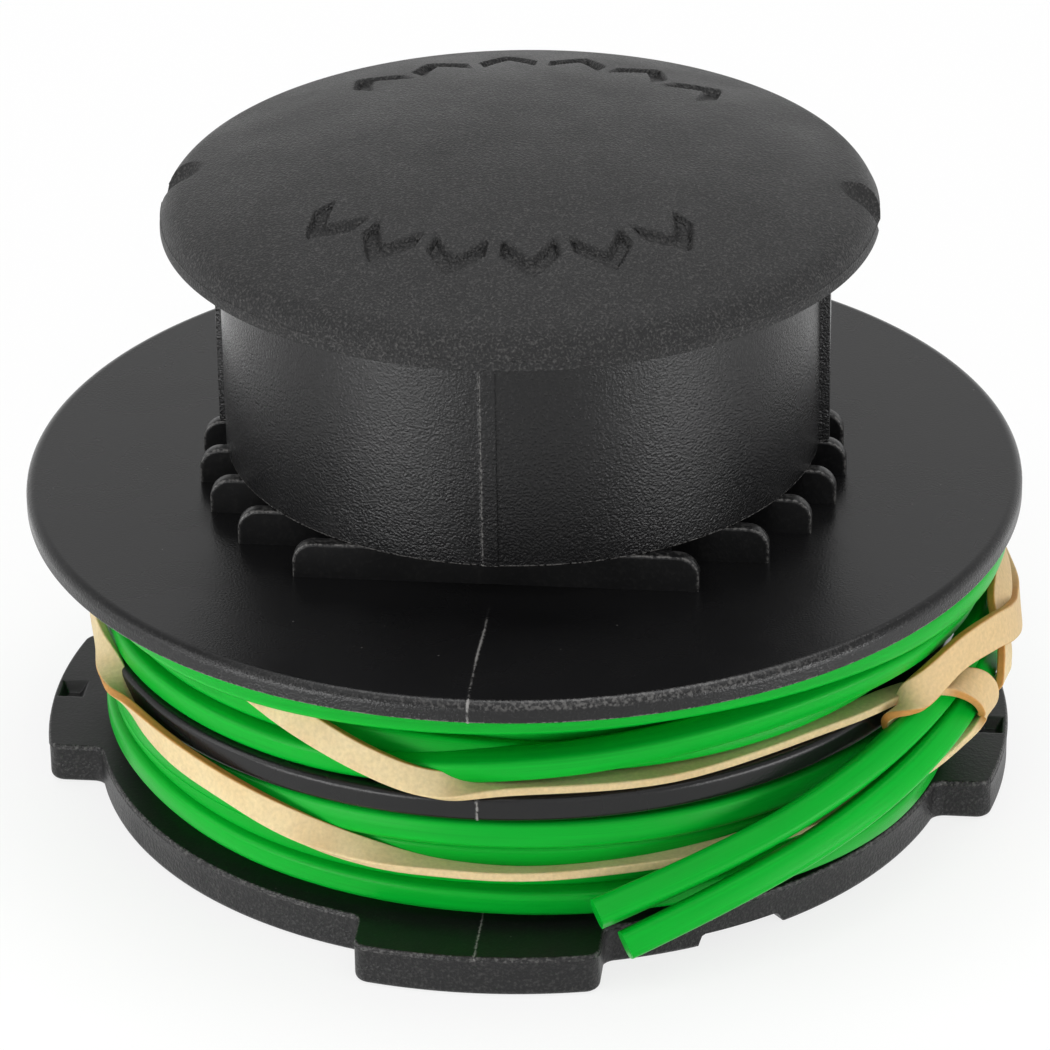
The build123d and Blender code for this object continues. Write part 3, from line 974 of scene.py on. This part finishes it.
class SPOOL_OT_windings(bpy.types.Operator):
    """Turns of line in the two chambers"""

    bl_idname = "spool.windings"
    bl_label = "Wound line"

    # Stations of azimuth, radius and height along each outer strand. The azimuth runs on past a full turn.
    # The crossing strand is closed, and the last turn and the helix run out into the free ends.
    upper_cross = [
        (-180, 29.2, 14.3),
        (-120, 29.2, 14.15),
        (-60, 29.2, 14.15),
        (-22, 29.2, 14.15),
        (-10, 29.2, 14.4),
        (0, 29.3, 14.95),
        (10, 29.5, 15.4),
        (20, 29.5, 15.8),
        (32, 29.6, 16.2),
        (45, 30.5, 16.8),
        (58, 31.7, 17.25),
        (72, 32.3, 17.4),
        (86, 32.0, 17.5),
        (100, 31.2, 17.4),
        (125, 29.9, 16.9),
        (150, 29.2, 16.3),
        (180, 29.1, 16.25),
        (240, 28.9, 16.25),
        (300, 28.65, 16.15),
        (335, 28.5, 16.1),
        (350, 28.3, 15.8),
        (360, 28.1, 15.4),
        (370, 28.2, 15.0),
        (380, 28.6, 14.95),
        (395, 28.9, 14.95),
        (420, 29.0, 14.95),
        (450, 29.1, 14.6),
        (480, 29.2, 14.3),
        (540, 29.2, 14.3),
    ]
    upper_last = [
        (170, 28.8, 20.2),
        (150, 29.2, 20.2),
        (125, 31.0, 20.1),
        (105, 32.8, 19.9),
        (88, 33.3, 19.6),
        (72, 33.2, 19.3),
        (58, 32.2, 19.15),
        (45, 30.9, 19.05),
        (30, 29.9, 19.0),
        (15, 29.5, 18.85),
        (0, 29.5, 18.7),
        (-15, 29.9, 18.7),
        (-28, 30.5, 18.7),
        (-42, 30.85, 18.7),
        (-58, 30.7, 18.6),
        (-75, 30.2, 18.4),
        (-95, 29.6, 18.2),
        (-120, 29.3, 18.2),
        (-150, 29.2, 18.2),
        (-182, 29.3, 18.0),
        (-203, 29.6, 17.3),
        (-222, 30.2, 16.3),
        (-233, 30.9, 15.75),
        (-244, 31.6, 15.1),
    ]
    lower_helix = [
        (945, 27.1, 4.1),
        (915, 28.2, 4.1),
        (885, 29.0, 4.1),
        (820, 29.3, 4.2),
        (795, 29.9, 4.25),
        (780, 30.4, 4.3),
        (765, 30.2, 4.4),
        (745, 29.6, 4.55),
        (720, 29.2, 4.75),
        (685, 29.25, 5.2),
        (660, 29.2, 5.9),
        (600, 29.0, 5.3),
        (540, 28.7, 4.7),
        (480, 28.5, 5.0),
        (420, 28.4, 5.7),
        (360, 28.45, 6.55),
        (300, 28.6, 6.5),
        (180, 28.6, 6.5),
        (120, 28.6, 7.0),
        (60, 28.6, 7.6),
        (0, 28.65, 8.0),
        (-60, 28.7, 8.1),
        (-180, 28.8, 8.2),
        (-240, 28.9, 8.9),
        (-300, 29.1, 9.4),
        (-330, 29.2, 9.5),
        (-360, 29.25, 9.85),
        (-420, 29.25, 10.05),
        (-500, 29.2, 10.1),
        (-545, 29.4, 10.15),
        (-568, 30.1, 10.35),
        (-588, 31.0, 10.8),
        (-604, 31.85, 11.3),
    ]

    # Radius and height of the plain turns beside the upper strands. The layer under both windings has its
    # radius, its first turn's rise above the chamber's floor, the step to the next turn and their count.
    upper_rings = [(28.45, 18.15), (28.9, 20.2)]
    inner_radius, inner_rise, inner_step, inner_count = 27.1, 1.1, 2.03, 4

    def execute(self, context):
        section = line_section(context.scene.line_sizes.line_width / MM, count=24)
        material = green_nylon("green_nylon_line")
        upper = [
            self.strand(self.upper_cross, section, lean=0.4, closed=True),
            self.strand(self.upper_last, section, lean=0.1, closed=False),
        ]
        upper += [self.ring(radius, height, section) for radius, height in self.upper_rings]
        lower = [self.strand(self.lower_helix, section, lean=0.25, closed=False)]
        for turns, floor in ((upper, DIVIDER_TOP), (lower, FLANGE_TOP)):
            for index in range(self.inner_count):
                height = floor + self.inner_rise + self.inner_step * index
                turns.append(self.ring(self.inner_radius, height, section))
        for name, turns, solid in (
            ("upper_line_turns", upper, "upper_line_winding"),
            ("lower_line_turns", lower, "lower_line_winding"),
        ):
            marks = np.concatenate([mark for _, _, mark in turns]) * MM
            parts = [(points, faces) for points, faces, _ in turns]
            make_piece(name, parts, material, [solid], {"strand": marks}, sharp=60)
        return {"FINISHED"}

    def strand(self, stations, section, lean, closed):
        """Outer strand along its stations. It leans from side to side as the sine of half its azimuth."""
        azimuth, values = smooth_route(stations)
        if closed:
            azimuth, values = azimuth[:-1], values[:-1]
        path = polar(azimuth, values[:, 0], values[:, 1])
        twist = lean * np.sin(np.radians(azimuth) * 0.5 + 0.7)
        return tube(path, section, twist, closed)

    def ring(self, radius, height, section):
        """Plain round turn of an inner layer."""
        azimuth = np.arange(0, 360, 2.0)
        return tube(polar(azimuth, radius, height), section, np.zeros_like(azimuth), closed=True)


def route_line(name, route):
    """Centreline in millimetres, read from the smooth spline whose control points are a cord's route."""
    curve = bpy.data.curves.new(name + "_route", "CURVE")
    curve.dimensions = "3D"
    curve.resolution_u = 24
    spline = curve.splines.new("NURBS")
    spline.points.add(len(route) - 1)
    points = polar(*np.array(route).T) * MM
    spline.points.foreach_set("co", np.concatenate([points, np.ones((len(points), 1))], 1).ravel())
    spline.order_u = 3
    spline.use_endpoint_u = True
    guide = bpy.data.objects.new(name + "_route", curve)
    mesh = bpy.data.meshes.new_from_object(guide)
    line = np.empty(len(mesh.vertices) * 3)
    mesh.vertices.foreach_get("co", line)
    bpy.data.objects.remove(guide)
    bpy.data.curves.remove(curve)
    bpy.data.meshes.remove(mesh)
    return line.reshape(-1, 3) / MM


class SPOOL_OT_tails(bpy.types.Operator):
    """Free ends of the line under the rubber band"""

    bl_idname = "spool.tails"
    bl_label = "Free ends"

    def execute(self, context):
        width = context.scene.line_sizes.line_width
        section = line_section(width / MM, count=40)
        material = green_nylon("green_nylon_free_end")
        # Each free end with its route, and the twist in radians at its start and at its cut end
        for name, route, start, stop in (
            ("upper_line_tail_end", UPPER_TAIL, 0.3, 0.8),
            ("lower_line_tail_end", LOWER_TAIL, 0.75, 0.45),
        ):
            path = route_line(name, route)
            twist = np.linspace(start, stop, len(path))
            points, faces, marks = tube(path, section, twist, closed=False)
            solid = name.removesuffix("_end")
            strand = {"strand": marks * MM}
            piece = make_piece(
                name, [(points, faces)], material, [solid], strand, sharp=60
            )
        return {"FINISHED"}


def through(stations, count):
    """Smooth closed curve through stations of several values: on each span a cubic whose slopes at its ends
    are half the step between the neighbouring stations."""
    stations = np.array(stations, float)
    before, after, beyond = (np.roll(stations, -step, axis=0) for step in (-1, 1, 2))
    share = np.linspace(0, 1, count, endpoint=False)[None, :, None]
    first, second = (after - before)[:, None] / 2, (beyond - stations)[:, None] / 2
    here, there = stations[:, None], after[:, None]
    made = (
        here * (2 * share**3 - 3 * share**2 + 1)
        + first * (share**3 - 2 * share**2 + share)
        + there * (3 * share**2 - 2 * share**3)
        + second * (share**3 - share**2)
    )
    return made.reshape(-1, stations.shape[1])


class SPOOL_OT_band(bpy.types.Operator):
    """Rubber band that goes twice round the line and hitches its free ends"""

    bl_idname = "spool.band"
    bl_label = "Rubber band"

    # Stations of azimuth, radius, height, lean in degrees and width along the band. The lean turns its face
    # from looking outwards, at 0, to looking up, at 90. The band leaves the divider at the front, runs left
    # round the back as the upper of two straps, loops down round the free ends and up through the hitch,
    # runs back the other way as the lower strap, twists over to the lower chamber and comes up over the free
    # ends to the divider.
    stations = [
        (50, 29.65, 13.55, 90, 1.9),
        (25, 29.65, 13.55, 90, 1.9),
        (3, 29.7, 13.55, 90, 1.9),
        (-6, 30.75, 14.1, 32, 1.9),
        (-14, 30.95, 15.4, 15, 2.0),
        (-24, 30.45, 17.0, 15, 2.1),
        (-36, 29.75, 18.4, 0, 2.0),
        (-52, 29.7, 19.3, 0, 1.9),
        (-72, 30.3, 19.6, 0, 1.9),
        (-110, 30.75, 19.7, 0, 1.9),
        (-145, 30.75, 19.6, 0, 1.9),
        (-180, 30.8, 19.3, 0, 1.9),
        (-205, 31.0, 18.3, 0, 1.9),
        (-222, 31.4, 17.5, 0, 1.9),
        (-240, 32.0, 17.3, 0, 1.9),
        (-255, 32.9, 17.0, 5, 2.1),
        (-265, 33.5, 16.6, 15, 2.4),
        (-273, 33.8, 16.1, 25, 2.6),
        (-279, 34.0, 15.4, 20, 2.5),
        (-280.5, 34.5, 14.5, 5, 2.3),
        (-281.5, 34.9, 13.3, 0, 2.2),
        (-282, 35.0, 12.0, 0, 2.2),
        (-282, 34.8, 10.8, -35, 2.2),
        (-283, 33.7, 9.9, -90, 2.0),
        (-288, 32.3, 9.8, -130, 2.0),
        (-296, 31.5, 10.6, -170, 2.0),
        (-300, 31.4, 11.8, -185, 2.0),
        (-301.5, 31.7, 12.9, -215, 2.1),
        (-301, 32.3, 13.7, -275, 2.2),
        (-298.5, 33.1, 14.7, -330, 2.4),
        (-293, 34.0, 16.0, -352, 2.5),
        (-286, 34.7, 15.7, -350, 2.5),
        (-279.5, 35.0, 14.5, -348, 2.5),
        (-273, 34.9, 13.4, -350, 2.4),
        (-264, 34.5, 12.9, -360, 2.2),
        (-250, 33.6, 13.9, -360, 2.0),
        (-236, 32.6, 14.9, -360, 1.9),
        (-222, 31.5, 15.3, -360, 1.9),
        (-205, 31.0, 16.1, -360, 1.9),
        (-180, 30.8, 16.8, -360, 1.9),
        (-144, 30.75, 17.0, -360, 1.9),
        (-108, 30.75, 16.9, -360, 1.9),
        (-88, 30.8, 16.2, -362, 1.9),
        (-76, 30.8, 15.0, -362, 1.9),
        (-68, 30.85, 13.7, -350, 1.9),
        (-61, 31.0, 12.5, -280, 1.9),
        (-54, 31.1, 11.6, -205, 2.0),
        (-44, 31.2, 10.95, -180, 2.0),
        (-34, 31.2, 10.25, -174, 2.0),
        (-25, 31.05, 9.2, -152, 2.0),
        (-16, 30.75, 8.2, -120, 1.9),
        (-6, 30.4, 7.45, -86, 1.9),
        (8, 30.3, 7.15, -76, 1.9),
        (28, 30.4, 7.3, -84, 1.9),
        (40, 30.7, 7.55, -98, 1.9),
        (52, 31.4, 7.9, -112, 1.9),
        (62, 32.6, 8.35, -108, 1.9),
        (68.5, 33.7, 9.3, -95, 2.0),
        (71, 34.8, 10.1, -45, 2.4),
        (71.2, 35.15, 11.2, 0, 2.8),
        (70, 34.9, 12.4, 25, 2.9),
        (68, 34.2, 13.3, 55, 2.7),
        (65.5, 33.2, 13.8, 85, 2.3),
        (63, 32.0, 13.85, 100, 2.0),
        (60, 30.9, 13.65, 95, 1.9),
    ]

    def execute(self, context):
        sizes = context.scene.line_sizes
        half_width, half_thickness = sizes.band_width / MM / 2, sizes.band_thickness / MM / 2
        azimuth, radius, height, lean, width = np.array(self.stations, float).T
        lean = np.radians(lean)
        place = polar(azimuth, radius, height)
        curve = through(np.column_stack([place, np.cos(lean), np.sin(lean), width]), count=14)
        path, facing_out, facing_up, width = np.split(curve, (3, 4, 5), axis=1)
        along = unit(np.roll(path, -1, axis=0) - np.roll(path, 1, axis=0))
        out = unit(path * (1, 1, 0))
        face = unit(out * facing_out + np.array([0, 0, 1.0]) * facing_up)
        face = unit(face - along * np.sum(face * along, -1, keepdims=True))
        across = np.cross(along, face)
        corner = 0.12
        section = rounded(
            [
                (0, half_thickness, 0),
                (half_width, half_thickness, corner),
                (half_width, -half_thickness, corner),
                (-half_width, -half_thickness, corner),
                (-half_width, half_thickness, corner),
                (0, half_thickness, 0),
            ],
            steps=3,
            hold=0.05,
        )[:-1]
        # Where the band is slack it is wider: each half of its section moves out by half of what it gains
        from_middle, through_band = section[None, :, 0], section[None, :, 1:]
        sideways = from_middle + np.sign(np.round(from_middle, 6)) * (width / 2 - half_width)
        rings = path[:, None] + sideways[..., None] * across[:, None] + through_band * face[:, None]
        faces = grid_faces(len(path), len(section), close_rows=True)
        # The upper cut edge is amber all along. Where the band is slack the lower one is too, and its faces
        # are a little. Where the band is taut, the lower cut edge keeps the face's pale cream as a painted
        # highlight along it.
        slack = smooth_step(2.05, 2.45, width)
        cut_from, cut_to = half_width - corner, half_width - 0.02
        upper = smooth_step(cut_from, cut_to, from_middle)
        lower = smooth_step(cut_from, cut_to, -from_middle) * (0.15 + 0.85 * slack)
        edge = np.maximum(np.maximum(upper, lower), 0.35 * slack)
        material = crepe_rubber("natural_rubber_cut_band")
        make_piece(
            "rubber_band_loop",
            [(rings.reshape(-1, 3), faces)],
            material,
            ["rubber_band"],
            {"edge": edge.ravel()},
            sharp=50,
        )
        return {"FINISHED"}


class SPOOL_OT_stage(bpy.types.Operator):
    """Pale floor, soft lamps and the camera"""

    bl_idname = "spool.stage"
    bl_label = "Studio"

    white = (1.0, 1.0, 1.0, 1.0)

    def execute(self, context):
        self.floor(context)
        self.lamps(context)
        self.world(context)
        self.camera(context)
        context.scene.view_settings.view_transform = "Standard"
        return {"FINISHED"}

    def floor(self, context):
        """Wide flat disc under the spool. Where it is seen, most of it glows white, and the rest keeps the
        shadow."""
        sides, reach, glowing = 96, 4.0, 0.8
        turn = np.arange(sides) * 2 * np.pi / sides
        points = np.stack([np.cos(turn), np.sin(turn), 0 * turn], -1) * reach
        mesh = bpy.data.meshes.new("studio_floor")
        mesh.from_pydata(points, [], [list(range(len(points)))])
        material, tree = new_material("matt_white_sweep")
        matt = node(tree, "BsdfDiffuse", [("Color", context.scene.spool_colours.floor)])
        glow = node(tree, "Emission", [("Color", self.white), ("Strength", 1.0)])
        share = node(tree, "Math", [(0, self.seen(tree)), (1, glowing)], operation="MULTIPLY")
        sweep = node(
            tree, "MixShader", [(0, share.outputs[0]), (1, matt.outputs[0]), (2, glow.outputs[0])]
        )
        node(tree, "OutputMaterial", [("Surface", sweep.outputs[0])])
        mesh.materials.append(material)
        floor = bpy.data.objects.new("studio_floor", mesh)
        context.scene.collection.objects.link(floor)

    def seen(self, tree):
        """1 for rays from the camera, straight or by a mirror or glass, and 0 for light that falls."""
        path = node(tree, "LightPath")
        straight = node(
            tree,
            "Math",
            [(0, path.outputs["Is Camera Ray"]), (1, path.outputs["Is Glossy Ray"])],
            operation="MAXIMUM",
        )
        return node(
            tree,
            "Math",
            [(0, straight.outputs[0]), (1, path.outputs["Is Transmission Ray"])],
            operation="MAXIMUM",
        ).outputs[0]

    def lamps(self, context):
        """Soft boxes as name, azimuth, elevation, distance and size in metres, and power in watts, all
        facing the spool: one above and behind, two low cards close to the windings and two panels. A wide
        sun from overhead fills in."""
        boxes = (
            ("overhead_box", 170.0, 72.0, 0.9, (0.7, 0.5), 2.4),
            ("left_card", -36.0, -4.0, 0.115, (0.07, 0.03), 0.04),
            ("right_card", 58.0, -4.0, 0.115, (0.06, 0.03), 0.033),
            ("left_panel", -75.0, 20.0, 0.8, (0.3, 0.6), 1.1),
            ("front_panel", 20.0, 20.0, 0.9, (0.5, 0.3), 0.3),
        )
        target = np.array([0, 0, 0.02])
        for name, azimuth, elevation, distance, size, power in boxes:
            rise = np.radians(elevation)
            place = polar(azimuth, distance * np.cos(rise), distance * np.sin(rise)) + target
            data = bpy.data.lights.new(name, "AREA")
            data.shape = "RECTANGLE"
            data.size, data.size_y = size
            data.energy = power
            self.aim(context, bpy.data.objects.new(name, data), place, target)
        data = bpy.data.lights.new("sky_panel", "SUN")
        data.energy = 1.2
        data.angle = np.radians(75)
        above = np.array([0.05, -0.2, 1.0])
        self.aim(context, bpy.data.objects.new("sky_panel", data), above, target)

    def world(self, context):
        """Pale room: where it is seen or mirrored it is white at the walls and grey at the ceiling, and for
        the light that falls it is about a third as bright as its walls."""
        falling, wall, ceiling = 0.35, 1.0, 0.3
        world = bpy.data.worlds.new("studio_room")
        world.use_nodes = True
        tree = world.node_tree
        tree.nodes.clear()
        direction = node(tree, "TexCoord").outputs["Generated"]
        upward = node(tree, "SeparateXYZ", [("Vector", direction)]).outputs["Z"]
        mirrored = node(
            tree,
            "MapRange",
            [
                ("Value", upward),
                ("From Min", 0.1),
                ("From Max", 0.9),
                ("To Min", wall),
                ("To Max", ceiling),
            ],
        )
        strength = node(
            tree,
            "MapRange",
            [("Value", self.seen(tree)), ("To Min", falling), ("To Max", mirrored.outputs[0])],
        )
        room = node(tree, "Background", [("Color", self.white), ("Strength", strength.outputs[0])])
        node(tree, "OutputWorld", [("Surface", room.outputs[0])])
        context.scene.world = world

    def camera(self, context):
        """Long lens at the fitted place, rolled clockwise a little."""
        studio = context.scene.studio_settings
        target = np.array([0, 0, studio.target_height])
        across = studio.distance * np.cos(studio.elevation)
        rise = studio.distance * np.sin(studio.elevation)
        place = polar(np.degrees(studio.azimuth), across, rise) + target
        data = bpy.data.cameras.new("photo_camera")
        data.sensor_width = 36.0
        data.lens = studio.lens
        data.clip_start, data.clip_end = 0.01, 20.0
        camera = bpy.data.objects.new("photo_camera", data)
        self.aim(context, camera, place, target, studio.roll)
        context.scene.camera = camera

    def aim(self, context, thing, place, target, roll=0.0):
        """Places a lamp or camera and points it at a target, its upright rolled clockwise."""
        back = unit(place - target)
        right = unit(np.cross((0, 0, 1.0), back))
        up = np.cross(back, right)
        rolled_right = right * np.cos(roll) - up * np.sin(roll)
        rolled_up = right * np.sin(roll) + up * np.cos(roll)
        turned = Matrix(np.stack([rolled_right, rolled_up, back], -1).tolist()).to_4x4()
        thing.matrix_world = Matrix.Translation(place.tolist()) @ turned
        context.scene.collection.objects.link(thing)


class SPOOL_PT_panel(bpy.types.Panel):
    """Builds the spool from its sizes and colours"""

    bl_label = "Trimmer line spool"
    bl_idname = "SPOOL_PT_panel"
    bl_space_type = "VIEW_3D"
    bl_region_type = "UI"
    bl_category = "Spool"

    def draw(self, context):
        for group in ("spool_sizes", "line_sizes", "spool_colours", "studio_settings"):
            settings = getattr(context.scene, group)
            for name in settings.__annotations__:
                self.layout.prop(settings, name)
        for operator in OPERATORS:
            self.layout.operator(operator.bl_idname)


GROUPS = {
    "spool_sizes": SpoolSizes,
    "line_sizes": LineSizes,
    "spool_colours": SpoolColours,
    "studio_settings": StudioSettings,
}
OPERATORS = (
    SPOOL_OT_knob,
    SPOOL_OT_body,
    SPOOL_OT_plates,
    SPOOL_OT_lugs,
    SPOOL_OT_windings,
    SPOOL_OT_tails,
    SPOOL_OT_band,
    SPOOL_OT_stage,
)


def register():
    for name, group in GROUPS.items():
        bpy.utils.register_class(group)
        setattr(bpy.types.Scene, name, bpy.props.PointerProperty(type=group))
    for operator in OPERATORS:
        bpy.utils.register_class(operator)
    bpy.utils.register_class(SPOOL_PT_panel)


def unregister():
    bpy.utils.unregister_class(SPOOL_PT_panel)
    for operator in reversed(OPERATORS):
        bpy.utils.unregister_class(operator)
    for name, group in reversed(GROUPS.items()):
        delattr(bpy.types.Scene, name)
        bpy.utils.unregister_class(group)


def main():
    register()
    bpy.ops.spool.knob()
    bpy.ops.spool.body()
    bpy.ops.spool.plates()
    bpy.ops.spool.lugs()
    bpy.ops.spool.windings()
    bpy.ops.spool.tails()
    bpy.ops.spool.band()
    bpy.ops.spool.stage()


if __name__ == "__main__":
    main()
